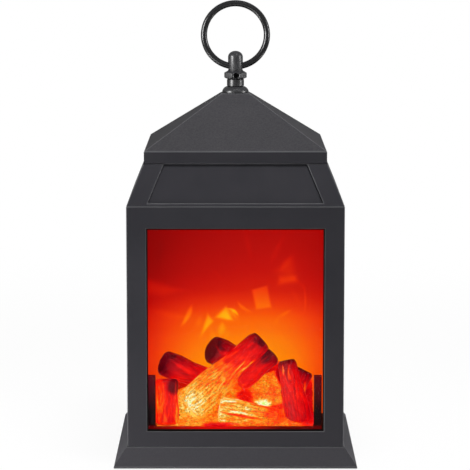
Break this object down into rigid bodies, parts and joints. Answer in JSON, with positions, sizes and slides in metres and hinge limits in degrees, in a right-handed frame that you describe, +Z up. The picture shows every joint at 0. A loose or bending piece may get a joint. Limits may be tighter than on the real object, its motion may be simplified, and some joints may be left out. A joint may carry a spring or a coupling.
{
  "type": "flame effect lamp",
  "caption": "Small square lantern with a carrying ring, a window onto glowing logs and a turning flame effect behind a screen, run from cells in its plinth.",
  "frame": {"origin": "centre of the square footprint, on the surface that the feet stand on", "axes": "+Z up towards the carrying ring, the window faces -Y, +X to the right as seen from the front"},
  "size_m": [0.15, 0.15, 0.2853],
  "materials": {
    "case_black": "satin moulded",
    "plate_black": "fine matt moulded",
    "works_black": "matt moulded",
    "works_white": "smooth moulded",
    "fitting_black": "satin lacquer",
    "steel": "bright zinc",
    "spring_steel": "nickel plated",
    "rubber_black": "matt",
    "clear_pane": "clear polished",
    "flame_sheet": "frosted, lit from behind",
    "glowing_log": "translucent resin with painted bark, lit from below",
    "glowing_ember": "translucent resin, lit from below",
    "board_green": "solder mask",
    "lamp_amber": "moulded lens",
    "cell_sleeve": "printed sleeve, plain",
    "motor_can": "drawn steel can",
    "bush_brass": "sintered",
    "switch_grip": "moulded",
    "chip_black": "moulded",
    "lead_red": "insulated wire"
  },
  "bodies": {
    "root": {"base_plinth": "case_black", "base_screws": "steel", "battery_cells": "cell_sleeve", "battery_leads": "lead_red", "battery_tray": "works_black", "bearing_bracket": "steel", "board_parts": "chip_black", "body_case": "case_black", "bottom_plate": "plate_black", "clamp_screws": "steel", "contact_plates": "spring_steel", "contact_springs": "spring_steel", "control_board": "board_green", "ember_bed": "glowing_ember", "eye_stud": "fitting_black", "finial_collar": "fitting_black", "finial_flange": "fitting_black", "finial_neck": "fitting_black", "finial_nut": "steel", "finial_washer": "steel", "flame_board": "board_green", "flame_box": "works_white", "flame_lamps": "lamp_amber", "flame_leads": "lead_red", "flame_screen": "flame_sheet", "hood": "case_black", "hood_screws": "steel", "light_box": "works_black", "log_bed": "works_black", "log_board": "board_green", "log_crossed": "glowing_log", "log_diagonal": "glowing_log", "log_forked": "glowing_log", "log_front": "glowing_log", "log_lamps": "lamp_amber", "log_leads": "lead_red", "log_left": "glowing_log", "log_right": "glowing_log", "motor_bracket": "steel", "motor_leads": "lead_red", "plate_screws": "steel", "rear_cover": "case_black", "rear_screws": "steel", "roof_cap": "case_black", "roof_screws": "steel", "rotor_bush": "bush_brass", "rotor_motor": "motor_can", "rubber_feet": "rubber_black", "set_screw": "steel", "small_screws": "steel", "stump_left": "glowing_log", "stump_right": "glowing_log", "switch_housing": "works_black", "window_pane": "clear_pane"},
    "ring": {"ring_handle": "fitting_black"},
    "rotor": {"rotor_shaft": "steel", "reflector_blades": "works_white"},
    "knob": {"switch_knob": "switch_grip"},
    "door": {"battery_door": "plate_black"}
  },
  "joints": [
    {"name": "ring_swing", "type": "hinge", "parent": "root", "child": "ring", "pos_m": [0, 0, 0.2438], "axis": [1, 0, 0], "range_deg": [-128, 128]},
    {"name": "rotor_spin", "type": "hinge", "parent": "root", "child": "rotor", "pos_m": [0, 0.0132, 0.0637], "axis": [1, 0, 0], "continuous": true},
    {"name": "switch_slide", "type": "slide", "parent": "root", "child": "knob", "axis": [1, 0, 0], "range_m": [0, 0.004]},
    {"name": "battery_door_hinge", "type": "hinge", "parent": "root", "child": "door", "pos_m": [0, 0.0213, 0.0022], "axis": [1, 0, 0], "range_deg": [0, 90]}
  ]
}
